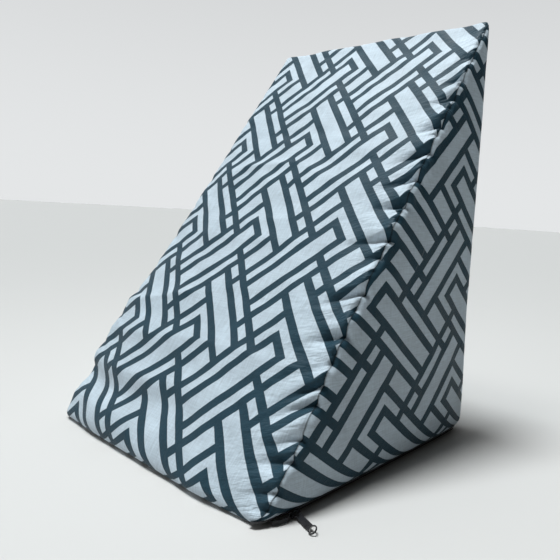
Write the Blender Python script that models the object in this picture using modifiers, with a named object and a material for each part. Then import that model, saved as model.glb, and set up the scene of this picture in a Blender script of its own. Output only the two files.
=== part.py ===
"""Wedge cushion: a firm right-triangle prism in a sewn cover, standing on its base.

Frame: origin at the centre of the base, +Z up, -Y the low front edge of the slope, +Y the
upright back, +X the side whose base edge carries the zip. Lengths are in metres.
"""

import math

import bmesh
import bpy
from mathutils import Vector

MM = 0.001
GAP = 0.3 * MM
NEAR = 1e-6  # closer than this counts as touching

# The sewn cover before its edges are rounded
WIDTH = 0.400
DEPTH = 0.380
HEIGHT = 0.575
TOP = Vector((DEPTH / 2, HEIGHT))
HEEL = Vector((DEPTH / 2, 0))

# Reach of the rounding on each edge, measured along its faces
TOP_ROUND = 0.012
HEEL_ROUND = 0.014
FRONT_ROUND = 0.010
FRONT_ROUND_SLACK = 0.030
SEAM_ROUND = 0.009
ZIP_SEAM_ROUND = 0.020

# How far the slack cloth stands ahead of the front seam line, and its share across the width
FRONT_SLACK = 0.021
SLACK_ACROSS = (  # x, share
    (-0.200, 0.50),
    (-0.130, 0.92),
    (0.000, 1.00),
    (0.130, 0.90),
    (0.200, 0.34),
)

# Crowns: the most that each face stands proud of its flat
SLOPE_CROWN = 0.004
BACK_CROWN = 0.005
SIDE_CROWN = 0.008

# Bellies of slack cloth low on the two sides
BELLIES = (  # side, push, height of its middle, spread up and down
    (1, 0.009, 0.028, 0.090),
    (-1, 0.009, 0.110, 0.095),
)
BELLY_SPREAD_IN = 0.045
BELLY_END_LOSS = 0.6

# Pinches of the slope's two seams, each with a crease that runs down and inward from it
PINCHES = (  # side, height share up the slope, depth, crease length, crease drop
    (1, 0.031, 0.003, 0.030, 0.004),
    (1, 0.057, 0.005, 0.034, 0.010),
    (1, 0.104, 0.006, 0.040, 0.012),
    (1, 0.137, 0.005, 0.036, 0.016),
    (1, 0.192, 0.006, 0.044, 0.024),
    (1, 0.219, 0.006, 0.046, 0.026),
    (1, 0.254, 0.004, 0.036, 0.018),
    (1, 0.302, 0.006, 0.044, 0.016),
    (1, 0.347, 0.004, 0.030, 0.010),
    (1, 0.378, 0.007, 0.046, 0.020),
    (1, 0.445, 0.004, 0.030, 0.010),
    (1, 0.484, 0.007, 0.048, 0.014),
    (1, 0.552, 0.006, 0.044, 0.012),
    (1, 0.608, 0.006, 0.040, 0.016),
    (1, 0.668, 0.006, 0.040, 0.018),
    (1, 0.729, 0.005, 0.038, 0.016),
    (1, 0.795, 0.005, 0.036, 0.012),
    (1, 0.843, 0.003, 0.028, 0.008),
    (1, 0.892, 0.003, 0.026, 0.006),
    (-1, 0.070, 0.0020, 0.034, 0.010),
    (-1, 0.118, 0.0040, 0.060, 0.004),
    (-1, 0.172, 0.0020, 0.036, 0.014),
    (-1, 0.235, 0.0025, 0.040, 0.016),
    (-1, 0.290, 0.0030, 0.050, 0.004),
    (-1, 0.361, 0.0020, 0.034, 0.012),
    (-1, 0.442, 0.0025, 0.036, 0.014),
    (-1, 0.520, 0.0020, 0.034, 0.010),
    (-1, 0.598, 0.0025, 0.040, 0.012),
    (-1, 0.687, 0.0020, 0.034, 0.014),
    (-1, 0.771, 0.0020, 0.032, 0.010),
    (-1, 0.856, 0.0015, 0.028, 0.008),
)
PINCH_HALF_WIDTH = 0.007
PINCH_FLARE = 0.9
PINCH_DRAW = 0.5
PINCH_PUFF = 0.0022

# Creases that storage pressed into the slope, and the loose waves low on its left
FOLDS = (  # name, half width, how soft its crest is, points along it as x, share up and rise
    ("middle crease", 0.024, 1.1, (
        (-0.200, 0.266, 0.0066), (-0.125, 0.291, 0.0070), (-0.077, 0.312, 0.0056),
        (-0.028, 0.326, 0.0034), (0.022, 0.350, 0.0008),
    )),
    ("wave below it", 0.019, 1.3, (
        (-0.200, 0.200, 0.0046), (-0.117, 0.212, 0.0050), (-0.035, 0.226, 0.0044),
        (0.072, 0.234, 0.0038), (0.145, 0.232, 0.0030), (0.190, 0.228, 0.0010),
    )),
    ("low wave", 0.018, 1.4, (
        (-0.200, 0.142, 0.0056), (-0.133, 0.136, 0.0054), (-0.054, 0.140, 0.0038), (0.036, 0.152, 0.0012),
    )),
    ("low hollow", 0.014, 2.0, (
        (-0.200, 0.100, -0.0044), (-0.133, 0.096, -0.0044), (-0.054, 0.100, -0.0034), (0.060, 0.110, -0.0010),
    )),
    ("lowest wave", 0.016, 2.0, ((-0.190, 0.060, 0.0044), (-0.090, 0.050, 0.0040), (0.000, 0.052, 0.0012))),
    ("upper crease", 0.015, 1.1, (
        (-0.160, 0.606, 0.0020), (-0.108, 0.628, 0.0038), (-0.006, 0.636, 0.0038), (0.058, 0.600, 0.0016),
    )),
    ("short crease", 0.010, 1.1, ((-0.014, 0.498, 0.0010), (0.012, 0.499, 0.0022), (0.042, 0.499, 0.0008))),
    ("right crease", 0.012, 1.1, ((0.105, 0.325, 0.0006), (0.162, 0.333, 0.0032), (0.190, 0.338, 0.0034))),
)

# Rows and columns of the cloth's surface
ROW_STEP = 0.0135
COLUMN_INSETS = (0.0035, 0.009, 0.017, 0.028, 0.043, 0.064, 0.092, 0.126, 0.162)

# The zip, which closes the base edge of the +X side
ZIP_FRONT = -0.186
ZIP_BACK = 0.172
ZIP_POINTS = 40
TAPE_WIDTH = 0.0072
TAPE_THICK = 0.0009
TAPE_TILT = math.radians(45)
TAPE_WRAP = (0.1960, 0.1890)  # x of its points on the front edge
TAPE_CLEAR = 0.5 * MM
TAPE_LIFT_AT_FRONT = 2.4  # times its lift along the side, where the slope turns under it
TAPE_LIFT_AT_CORNER = 3.0
BAR_BEVEL = 0.6  # share of a bar's half thickness
COIL_WIDTH = 0.0042
COIL_THICK = 0.0018
COIL_STOP_SHORT = 0.004
SLIDER_Y = -0.152
SLIDER_SIZE = (0.0036, 0.0110, 0.0066)
SLIDER_OFF_SEAM = Vector((0.0066, 0, -0.0014))
SLIDER_TILT = math.radians(30)
SLIDER_ROUND = 0.0010
PULL_LENGTH = 0.0345
PULL_HEAD_RADIUS = 0.00475
PULL_WIDTH = 0.0064
PULL_THICK = 0.0014
PULL_CORNER = 0.0016
PULL_HOLE_RADIUS = 0.0034
PULL_END_STEPS = 18
PULL_CORNER_STEPS = 3
PULL_HOLE_STEPS = 20
PULL_START = Vector((0.0037, 0, 0.0003))
PULL_TURN = math.radians(-16.0)
PULL_ROLL = math.radians(40.0)
TAIL_ROUTE = (  # off the base seam, y
    (0.0048, -0.1790),
    (0.0075, -0.1755),
    (0.0092, -0.1705),
    (0.0094, -0.1655),
    (0.0078, -0.1612),
    (0.0062, -0.1592),
)
TAIL_HEIGHT = 0.0050
TAIL_FOOT = 0.0006
TAIL_THICK = 0.0008

FINISHES = {  # name: colour, roughness, metallic
    "printed_cloth": ((0.36, 0.43, 0.48), 0.75, 0.0),
    "zip_webbing": ((0.012, 0.013, 0.015), 0.80, 0.0),
    "zip_nylon": ((0.010, 0.010, 0.011), 0.45, 0.0),
    "zip_metal": ((0.015, 0.015, 0.017), 0.30, 0.6),
}


def material(name):
    """The Principled material of one finish."""
    made = bpy.data.materials.get(name) or bpy.data.materials.new(name)
    colour, roughness, metallic = FINISHES[name]
    made.use_nodes = True
    shader = made.node_tree.nodes["Principled BSDF"]
    shader.inputs["Base Color"].default_value = (*colour, 1)
    shader.inputs["Roughness"].default_value = roughness
    shader.inputs["Metallic"].default_value = metallic
    return made


def smooth_curve(table, at):
    """The value at a place on a smooth curve through a table's rows of place and value."""
    last = len(table) - 1
    i = min(max(sum(at > row[0] for row in table) - 1, 0), last - 1)
    slopes = []
    for k in (i, i + 1):
        (a, low), (b, high) = table[max(k - 1, 0)], table[min(k + 1, last)]
        slopes.append((high - low) / (b - a))
    (a, low), (b, high) = table[i], table[i + 1]
    span = b - a
    t = min(max((at - a) / span, 0), 1)
    ease = t * t * (3 - 2 * t)
    leaving = t * (1 - t) ** 2 * slopes[0] * span
    arriving = t * t * (1 - t) * slopes[1] * span
    return low + (high - low) * ease + leaving - arriving


def bell(distance, spread):
    """A weight of 1 at no distance that fades smoothly away over the spread."""
    return math.exp(-((distance / spread) ** 2))


def slack(x):
    """Share of the front slack at a place across the width."""
    return smooth_curve(SLACK_ACROSS, x)


def toe(x):
    """The section's low front corner, as (y, z)."""
    return Vector((-DEPTH / 2 - FRONT_SLACK * slack(x), 0))


def section_point(x, p, q):
    """A point of the triangular section, from a unit square whose fourth corner is the slope's middle."""
    front = toe(x)
    middle = (front + TOP) / 2
    low = front.lerp(HEEL, p)
    high = middle.lerp(TOP, p)
    return low.lerp(high, q)


class Place:
    """Where a point of the plain wedge lies against its three faces and its seams."""

    def __init__(self, x, p, q):
        self.x = x
        self.side = 1 if x > 0 else -1
        self.inset = WIDTH / 2 - abs(x)
        self.at = section_point(x, p, q)
        self.front = toe(x)
        self.up_slope = (TOP - self.front).normalized()
        self.slope_out = Vector((-self.up_slope.y, self.up_slope.x))
        from_front = self.at - self.front
        self.climb = from_front.dot(self.up_slope)
        self.share_up = self.climb / (TOP - self.front).length
        self.below_slope = max(-from_front.dot(self.slope_out), 0)
        self.above_base = self.at.y
        self.ahead_of_back = DEPTH / 2 - self.at.x
        self.on_base = q < NEAR


def round_off(distance, reach):
    """How far an edge's rounding moves a point along each of the two faces that meet there."""
    if distance >= reach:
        return 0
    return reach * (1 - distance / reach) ** 2 / 4


def edge_rounding(place):
    """The move that rounds the top, heel and front edges, as (y, z)."""
    down, forward, back = Vector((0, -1)), Vector((-1, 0)), Vector((1, 0))
    front_reach = FRONT_ROUND + (FRONT_ROUND_SLACK - FRONT_ROUND) * slack(place.x)
    move = Vector((0, 0))
    for corner, one_way, other_way, reach in (
        (TOP, -place.up_slope, down, TOP_ROUND),
        (HEEL, -down, forward, HEEL_ROUND),
        (place.front, back, place.up_slope, front_reach),
    ):
        move += round_off((place.at - corner).length, reach) * (one_way + other_way)
    return move


def seam_rounding(place):
    """The move that rounds the seams between the side panels and the long strip."""
    base_reach = ZIP_SEAM_ROUND if place.side > 0 else SEAM_ROUND
    move = Vector((0, 0, 0))
    for distance, inward, reach in (
        (place.below_slope, -place.slope_out, SEAM_ROUND),
        (place.above_base, Vector((0, 1)), base_reach),
        (place.ahead_of_back, Vector((-1, 0)), SEAM_ROUND),
    ):
        amount = round_off(place.inset + distance, reach)
        move += amount * Vector((-place.side, *inward))
    return move


def crowning(place):
    """The move that crowns the slope, the back and the two side panels."""
    across = 1 - (2 * place.x / WIDTH) ** 4
    up = math.sin(math.pi * min(max(place.share_up, 0), 1))
    slope = SLOPE_CROWN * across * up * bell(place.below_slope, BELLY_SPREAD_IN)
    back_up = math.sin(math.pi * min(place.above_base / HEIGHT, 1))
    back = BACK_CROWN * across * back_up * bell(place.ahead_of_back, BELLY_SPREAD_IN)
    fullest = (DEPTH * HEIGHT / (3 * (TOP - place.front).length), HEIGHT / 3, DEPTH / 3)
    distances = (place.below_slope, place.above_base, place.ahead_of_back)
    middle = math.prod(max(d, 0) / full for d, full in zip(distances, fullest)) ** 0.5
    side = SIDE_CROWN * middle * bell(place.inset, SEAM_ROUND)
    return Vector((place.side * side, *(slope * place.slope_out))) + Vector((0, back, 0))


def bellying(place):
    """The sideways move of the slack cloth low on the sides."""
    push = 0
    for side, most, height, spread in BELLIES:
        if side == place.side:
            push = most * bell(place.above_base - height, spread)
    ends = 1 - BELLY_END_LOSS * min(abs(2 * place.at.x / DEPTH), 1) ** 6
    return Vector((place.side * push * ends * math.exp(-place.inset / BELLY_SPREAD_IN), 0, 0))


def pinching(place):
    """The puckers along the slope's seams: creases drawn in at each pinch, and puffs between."""
    inward = Vector((-place.side * PINCH_DRAW, *(-place.slope_out)))
    length_up = (TOP - place.front).length
    inset = place.inset + place.below_slope
    near_edge = math.exp(-place.below_slope / SEAM_ROUND)
    amount = 0
    for side, share, depth, length, drop in PINCHES:
        if side != place.side or inset > 2 * length:
            continue
        crease_climb = share * length_up - drop * inset / length
        width = PINCH_HALF_WIDTH * (1 + PINCH_FLARE * inset / length)
        amount += depth * bell(place.climb - crease_climb, width) * bell(inset, length)
    puff = PINCH_PUFF * bell(inset - SEAM_ROUND, 2 * SEAM_ROUND)
    puff *= math.sin(math.pi * min(max(place.share_up, 0), 1)) ** 0.5
    return (amount - puff) * near_edge * inward


def folding(place):
    """The creases and loose waves of the slope, each along a bent line drawn on it."""
    length_up = (TOP - place.front).length
    here = Vector((place.x, place.climb))
    rise = 0
    for _, half_width, softness, points in FOLDS:
        nearest = math.inf
        for (start_x, start_up, start_rise), (end_x, end_up, end_rise) in zip(points, points[1:]):
            start = Vector((start_x, start_up * length_up))
            along = Vector((end_x, end_up * length_up)) - start
            t = min(max((here - start).dot(along) / along.length_squared, 0), 1)
            distance = (here - start - along * t).length
            if distance < nearest:
                nearest = distance
                high = start_rise + (end_rise - start_rise) * t
        rise += high * math.exp(-((nearest / half_width) ** softness))
    rise *= math.exp(-place.below_slope / SEAM_ROUND)
    return Vector((0, *(rise * place.slope_out)))


def shaped(x, p, q):
    """Where the finished cushion's surface has the point (x, p, q) of the unit wedge."""
    place = Place(x, p, q)
    rounding = seam_rounding(place) + Vector((0, *edge_rounding(place)))
    loose = crowning(place) + bellying(place) + pinching(place) + folding(place)
    if place.on_base:
        loose.z = 0
    moved = Vector((x, *place.at)) + rounding + loose
    moved.z = max(moved.z, 0)
    return moved


def evenly(marks, length):
    """Cut places from 0 to 1 through the marks, about a row step apart."""
    places = []
    last = 0
    for mark in (*sorted(marks), 1):
        parts = max(round((mark - last) * length / ROW_STEP), 1)
        places += [last + (mark - last) * (k + 1) / parts for k in range(parts)]
        last = mark
    return places[:-1]


def new_object(name, data, finish, collection):
    """An object of the cushion with its one material, in its collection."""
    made = bpy.data.objects.new(name, data)
    made.data.materials.append(material(finish))
    collection.objects.link(made)
    return made


def cushion(collection):
    """The filled cover: a cube cut into rows and columns, then shaped point by point."""
    half_slope = math.hypot(DEPTH, HEIGHT) / 2
    shares = [row[1] for row in PINCHES if row[0] > 0]
    low_rows = evenly([2 * s for s in shares if s < 0.5], half_slope)
    high_rows = evenly([2 * s - 1 for s in shares if s > 0.5], half_slope)
    columns = [side * (WIDTH / 2 - inset) for side in (-1, 1) for inset in COLUMN_INSETS] + [0]
    mesh = bmesh.new()
    bmesh.ops.create_cube(mesh, size=1)
    for vertex in mesh.verts:
        vertex.co = Vector((vertex.co.x * WIDTH, vertex.co.y + 0.5, vertex.co.z + 0.5))
    for axis, cuts in enumerate((columns, high_rows, low_rows)):
        for cut in cuts:
            plane = Vector((0, 0, 0))
            plane[axis] = 1
            whole = mesh.verts[:] + mesh.edges[:] + mesh.faces[:]
            bmesh.ops.bisect_plane(mesh, geom=whole, plane_co=plane * cut, plane_no=plane, dist=NEAR)
    for vertex in mesh.verts:
        vertex.co = shaped(*vertex.co)
    bmesh.ops.recalc_face_normals(mesh, faces=mesh.faces)
    data = bpy.data.meshes.new("cushion")
    mesh.to_mesh(data)
    mesh.free()
    data.shade_smooth()
    return new_object("cushion", data, "printed_cloth", collection)


def base_edge(y):
    """A point of the +X side's base seam, at about this y."""
    front = toe(WIDTH / 2).x
    return shaped(WIDTH / 2, (y - front) / (DEPTH / 2 - front), 0)


OUTWARD = Vector((math.cos(TAPE_TILT), 0, -math.sin(TAPE_TILT)))
FORWARD = Vector((0, -math.cos(TAPE_TILT), -math.sin(TAPE_TILT)))


def zip_route(front, back, lift):
    """Points along the base seam, lifted off the cloth."""
    points = []
    for k in range(ZIP_POINTS):
        y = front + (back - front) * k / (ZIP_POINTS - 1)
        points.append(base_edge(y) + OUTWARD * lift)
    return points


def corner_route(lift):
    """Points from the front edge round the corner to the base seam, lifted off the cloth."""
    points = [shaped(x, 0, 0) + FORWARD * TAPE_LIFT_AT_FRONT * lift for x in reversed(TAPE_WRAP)]
    corner = (OUTWARD + FORWARD).normalized()
    return points + [shaped(WIDTH / 2, 0, 0) + corner * TAPE_LIFT_AT_CORNER * lift]


def swept(name, route, width, thick, finish, collection):
    """A bar of flat section, its width tilted with the tape, along a route."""
    half_w, half_t = width / 2, thick / 2
    corner = min(half_w, half_t) * BAR_BEVEL
    outline = (
        (half_w, half_t - corner), (half_w - corner, half_t),
        (corner - half_w, half_t), (-half_w, half_t - corner),
        (-half_w, corner - half_t), (corner - half_w, -half_t),
        (half_w - corner, -half_t), (half_w, corner - half_t),
    )
    profile = bpy.data.curves.new(name + "_profile", "CURVE")
    profile.dimensions = "2D"
    spline = profile.splines.new("POLY")
    spline.points.add(len(outline) - 1)
    turn = TAPE_TILT
    for point, (a, b) in zip(spline.points, reversed(outline)):
        across = a * math.cos(turn) - b * math.sin(turn)
        up = a * math.sin(turn) + b * math.cos(turn)
        point.co = (across, up, 0, 1)
    spline.use_cyclic_u = True
    guide = bpy.data.objects.new(name + "_profile", profile)
    guide.hide_render = True
    guide.display_type = "WIRE"
    collection.children["guides"].objects.link(guide)

    curve = bpy.data.curves.new(name, "CURVE")
    curve.dimensions = "3D"
    curve.twist_mode = "Z_UP"
    path = curve.splines.new("POLY")
    path.points.add(len(route) - 1)
    for point, at in zip(path.points, route):
        point.co = (*at, 1)
    curve.bevel_mode = "OBJECT"
    curve.bevel_object = guide
    curve.use_fill_caps = True
    return new_object(name, curve, finish, collection)


def zip_tape(collection):
    """The tape along the base seam, its front end folded round the corner onto the front edge."""
    lift = TAPE_CLEAR + TAPE_THICK / 2
    route = corner_route(lift) + zip_route(ZIP_FRONT, ZIP_BACK, lift)
    return swept("zip_tape", route, TAPE_WIDTH, TAPE_THICK, "zip_webbing", collection)


def zip_coil(collection):
    """The closed coil, which runs from the slider to the back end."""
    lift = TAPE_CLEAR + TAPE_THICK + GAP + COIL_THICK / 2
    start = SLIDER_Y + SLIDER_SIZE[1] / 2 + 2 * GAP
    route = zip_route(start, ZIP_BACK - COIL_STOP_SHORT, lift)
    return swept("zip_coil", route, COIL_WIDTH, COIL_THICK, "zip_nylon", collection)


def zip_slider(collection):
    """The slider's body, a block with rounded edges outside the tape."""
    mesh = bmesh.new()
    bmesh.ops.create_cube(mesh, size=1)
    for vertex in mesh.verts:
        vertex.co = Vector([c * size for c, size in zip(vertex.co, SLIDER_SIZE)])
    data = bpy.data.meshes.new("zip_slider")
    mesh.to_mesh(data)
    mesh.free()
    slider = new_object("zip_slider", data, "zip_metal", collection)
    slider.location = base_edge(SLIDER_Y) + SLIDER_OFF_SEAM
    slider.rotation_euler = (0, SLIDER_TILT, 0)
    rounding = slider.modifiers.new("rounded edges", "BEVEL")
    rounding.width = SLIDER_ROUND
    rounding.segments = 2
    return slider


def arc(centre, radius, start, end, steps):
    """Points of an arc in the plane, angles in degrees."""
    points = []
    for k in range(steps + 1):
        angle = math.radians(start + (end - start) * k / steps)
        points.append((centre[0] + radius * math.cos(angle), centre[1] + radius * math.sin(angle)))
    return points


def zip_pull(slider, collection):
    """The pull: a flat tab with a ring at its end, lying outward beside the base edge."""
    half = PULL_WIDTH / 2
    inner = half - PULL_CORNER
    head = (PULL_LENGTH - PULL_HEAD_RADIUS, 0)
    round_to = 180 - math.degrees(math.asin(half / PULL_HEAD_RADIUS))
    outline = arc(head, PULL_HEAD_RADIUS, -round_to, round_to, PULL_END_STEPS)
    outline += arc((PULL_CORNER, inner), PULL_CORNER, 90, 180, PULL_CORNER_STEPS)
    outline += arc((PULL_CORNER, -inner), PULL_CORNER, 180, 270, PULL_CORNER_STEPS)
    hole = arc(head, PULL_HOLE_RADIUS, 360, 0, PULL_HOLE_STEPS)[:-1]
    flat = bpy.data.curves.new("zip_pull", "CURVE")
    flat.dimensions = "2D"
    flat.fill_mode = "BOTH"
    flat.extrude = PULL_THICK / 2
    for points in (outline, hole):
        spline = flat.splines.new("POLY")
        spline.points.add(len(points) - 1)
        spline.use_cyclic_u = True
        for point, (a, b) in zip(spline.points, points):
            point.co = (a, b, 0, 1)
    pull = new_object("zip_pull", flat, "zip_metal", collection)
    pull.location = Vector(slider.location) + PULL_START
    pull.rotation_euler = (PULL_ROLL, 0, PULL_TURN)
    return pull


def tape_tail(collection):
    """The loose end of the tape, a narrow ribbon standing on edge in a curl ahead of the slider."""
    curve = bpy.data.curves.new("tape_tail", "CURVE")
    curve.dimensions = "3D"
    curve.twist_mode = "Z_UP"
    curve.extrude = TAIL_HEIGHT / 2
    path = curve.splines.new("POLY")
    path.points.add(len(TAIL_ROUTE) - 1)
    for point, (off_seam, y) in zip(path.points, TAIL_ROUTE):
        point.co = (base_edge(y).x + off_seam, y, TAIL_FOOT + TAIL_HEIGHT / 2, 1)
    tail = new_object("tape_tail", curve, "zip_webbing", collection)
    thick = tail.modifiers.new("thickness", "SOLIDIFY")
    thick.thickness = TAIL_THICK
    thick.offset = 0
    return tail


def main():
    for old in list(bpy.data.objects):
        bpy.data.objects.remove(old)
    wedge = bpy.data.collections.new("wedge_cushion")
    guides = bpy.data.collections.new("guides")
    bpy.context.scene.collection.children.link(wedge)
    wedge.children.link(guides)
    cushion(wedge)
    zip_tape(wedge)
    zip_coil(wedge)
    slider = zip_slider(wedge)
    zip_pull(slider, wedge)
    tape_tail(wedge)


main()
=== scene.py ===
"""Looks of a wedge backrest cushion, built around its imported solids.

The printed cover is laid out as flat panels, welded along its seams, drawn over the foam wedge and
left to settle as cloth. Each panel keeps the place of its cloth, so the print follows every fold.
Lengths are in metres, +Z is up and the low front edge faces -Y.
"""

import math

import bmesh
import bpy
import numpy as np
from bpy.props import FloatProperty, FloatVectorProperty, IntProperty, PointerProperty
from mathutils import Matrix, Vector


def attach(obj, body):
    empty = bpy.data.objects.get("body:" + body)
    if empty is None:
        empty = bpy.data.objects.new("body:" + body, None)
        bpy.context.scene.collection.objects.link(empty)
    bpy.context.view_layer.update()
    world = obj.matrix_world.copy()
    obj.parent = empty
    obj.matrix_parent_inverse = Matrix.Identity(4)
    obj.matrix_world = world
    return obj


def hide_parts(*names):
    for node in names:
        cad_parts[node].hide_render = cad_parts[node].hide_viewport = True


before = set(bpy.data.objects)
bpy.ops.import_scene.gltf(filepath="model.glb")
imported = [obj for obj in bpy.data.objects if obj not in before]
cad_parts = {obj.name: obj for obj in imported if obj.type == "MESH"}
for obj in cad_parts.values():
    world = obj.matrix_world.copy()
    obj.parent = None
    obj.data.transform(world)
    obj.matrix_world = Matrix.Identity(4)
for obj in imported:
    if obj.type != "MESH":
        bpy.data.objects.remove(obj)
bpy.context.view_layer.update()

bl_info = {
    "name": "Wedge cushion",
    "version": (1, 0, 0),
    "blender": (4, 5, 0),
    "location": "View3D > Sidebar > Cushion",
    "description": "A wedge backrest cushion with a printed cover, puckered seams and a zip",
    "category": "Add Mesh",
}

MM = 0.001

# Reach of the rounding on each edge of the foam, measured along its faces
TOP_ROUND = 0.010
HEEL_ROUND = 0.014
FRONT_ROUND = 0.010
FRONT_ROUND_SLACK = 0.030
SEAM_ROUND = 0.008
ZIP_SEAM_ROUND = 0.020

SLACK_ACROSS = (  # x, share of the slack that stands ahead of the front edge
    (-0.200, 0.50),
    (-0.130, 0.92),
    (0.000, 1.00),
    (0.130, 0.90),
    (0.200, 0.34),
)

BELLIES = (  # side, push, height of its middle, spread up and down
    (1, 0.009, 0.028, 0.090),
    (-1, 0.009, 0.110, 0.095),
)
BELLY_SPREAD_IN = 0.045
BELLY_END_LOSS = 0.6

# Pinches of the slope's two seams, each with a crease that runs down and inward from it
PINCHES = (  # side, height share up the slope, depth, crease length, crease drop
    (1, 0.031, 0.003, 0.030, 0.004),
    (1, 0.057, 0.005, 0.034, 0.010),
    (1, 0.104, 0.006, 0.040, 0.012),
    (1, 0.137, 0.005, 0.036, 0.016),
    (1, 0.192, 0.006, 0.044, 0.024),
    (1, 0.219, 0.006, 0.046, 0.026),
    (1, 0.254, 0.004, 0.036, 0.018),
    (1, 0.302, 0.006, 0.044, 0.016),
    (1, 0.347, 0.004, 0.030, 0.010),
    (1, 0.378, 0.007, 0.046, 0.020),
    (1, 0.445, 0.004, 0.030, 0.010),
    (1, 0.484, 0.007, 0.048, 0.014),
    (1, 0.552, 0.006, 0.044, 0.012),
    (1, 0.608, 0.006, 0.040, 0.016),
    (1, 0.668, 0.006, 0.040, 0.018),
    (1, 0.729, 0.005, 0.038, 0.016),
    (1, 0.795, 0.005, 0.036, 0.012),
    (1, 0.843, 0.003, 0.028, 0.008),
    (1, 0.892, 0.003, 0.026, 0.006),
    (-1, 0.070, 0.0020, 0.034, 0.010),
    (-1, 0.118, 0.0040, 0.060, 0.004),
    (-1, 0.172, 0.0020, 0.036, 0.014),
    (-1, 0.235, 0.0025, 0.040, 0.016),
    (-1, 0.290, 0.0030, 0.050, 0.004),
    (-1, 0.361, 0.0020, 0.034, 0.012),
    (-1, 0.442, 0.0025, 0.036, 0.014),
    (-1, 0.520, 0.0020, 0.034, 0.010),
    (-1, 0.598, 0.0025, 0.040, 0.012),
    (-1, 0.687, 0.0020, 0.034, 0.014),
    (-1, 0.771, 0.0020, 0.032, 0.010),
    (-1, 0.856, 0.0015, 0.028, 0.008),
)
PINCH_HALF_WIDTH = 0.0050
PINCH_FLARE = 1.0
PINCH_DRAW = 0.5
PINCH_DEEPER = {1: 1.30, -1: 0.50}  # by side, how much deeper the cloth folds than the foam under it
PINCH_SHORTER = 0.8  # share of a crease's length over which the cloth folds
PUFF_SHARE = 0.35  # height of the lip above each crease, as a share of the crease's depth
PUFF_REACH = 0.009
PILLOW_HEIGHT = {1: 0.0030, -1: 0.0005}  # of the full cloth between two pinches, by side
PILLOW_INSET = 0.006  # from the seam to its crest
PILLOW_REACH = 0.009
PILLOW_GAP = 0.0075  # half width of the hollow between two
SMALL_PLEATS = 54  # between the pinches of each seam
SMALL_PLEAT_DEPTH = {1: 0.0034, -1: 0.0007}
SMALL_PLEAT_LENGTH = 0.022
SMALL_PLEAT_DROP = 0.009
SEAM_DRAW = 0.0009  # how far a seam lies below the cloth beside it
SEAM_DRAW_REACH = 0.0035
CRUMPLES = 18  # loose waves all over the cover
CRUMPLE_HEIGHT = 0.00014
CRUMPLE_LENGTHS = (0.028, 0.095)
CRUMPLE_SHARE_SIDE = 0.4  # of their height on the slope
SEED = 7

# Creases that storage pressed into the slope, and the loose waves low on its left
FOLDS = (  # name, half width, how soft its crest is, points along it as x, share up and rise
    ("middle crease", 0.024, 1.1, (
        (-0.200, 0.266, 0.0066), (-0.125, 0.291, 0.0070), (-0.077, 0.312, 0.0056),
        (-0.028, 0.326, 0.0034), (0.022, 0.350, 0.0008),
    )),
    ("wave below it", 0.019, 1.3, (
        (-0.200, 0.200, 0.0046), (-0.117, 0.212, 0.0050), (-0.035, 0.226, 0.0044),
        (0.072, 0.234, 0.0038), (0.145, 0.232, 0.0030), (0.190, 0.228, 0.0010),
    )),
    ("low wave", 0.018, 1.4, (
        (-0.200, 0.142, 0.0056), (-0.133, 0.136, 0.0054), (-0.054, 0.140, 0.0038), (0.036, 0.152, 0.0012),
    )),
    ("low hollow", 0.014, 2.0, (
        (-0.200, 0.100, -0.0044), (-0.133, 0.096, -0.0044), (-0.054, 0.100, -0.0034), (0.060, 0.110, -0.0010),
    )),
    ("lowest wave", 0.016, 2.0, ((-0.190, 0.060, 0.0044), (-0.090, 0.050, 0.0040), (0.000, 0.052, 0.0012))),
    ("upper crease", 0.015, 1.1, (
        (-0.160, 0.606, 0.0020), (-0.108, 0.628, 0.0038), (-0.006, 0.636, 0.0038), (0.058, 0.600, 0.0016),
    )),
    ("short crease", 0.010, 1.1, ((-0.014, 0.498, 0.0010), (0.012, 0.499, 0.0022), (0.042, 0.499, 0.0008))),
    ("right crease", 0.012, 1.1, ((0.105, 0.325, 0.0006), (0.162, 0.333, 0.0032), (0.190, 0.338, 0.0034))),
)

# The printed repeat, charted: pale bars on the dark ground. One square of the chart is a
# step along each diagonal. "Off" is the distance from the long bar's middle line.
BARS = (  # name, along from, along to, off from, off to
    ("cross bar", 0, 2, 0, 6),
    ("short cross bar", 3, 4, 0, 3),
    ("short bar's ends", 3, 4, 4, 6),
    ("long bar", 5, 17, 0, 1),
    ("thin bars", 5, 14, 2, 3),
    ("loop's rails", 15, 19, 2, 3),
    ("loop's end", 18, 19, 0, 3),
    ("blocks", 15, 19, 4, 6),
)
REPEAT_SQUARES = 20
BAR_MIDDLE = 6

# How each panel is cut from the cloth: where its repeat starts, across and down the panel
STRIP_START = (-0.0399, 0.2950)
STRIP_LEAN = 0.0406  # how much lower the print lies for each metre to the right
SIDE_START = (0.0987, 0.5331)
SIDE_TURN = math.radians(-0.94)

SLIPS = (  # x, share up the slope, reach, how far the cloth has slipped there: right, down
    (-0.19, 0.23, 0.12, 0.001, 0.009),
    (-0.05, 0.03, 0.07, 0.009, 0.001),
    (-0.02, 1.00, 0.08, 0.005, 0.000),
    (-0.04, 0.42, 0.10, -0.002, -0.001),
    (0.18, 0.82, 0.09, 0.000, 0.006),
    (0.18, 0.08, 0.07, 0.006, 0.000),
    (0.10, 0.03, 0.09, 0.000, -0.004),
)
ROLL_UNDER = 0.026  # spare cloth that rolls under at the foot of a side panel
ROLL_HEIGHT = 0.014

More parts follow.
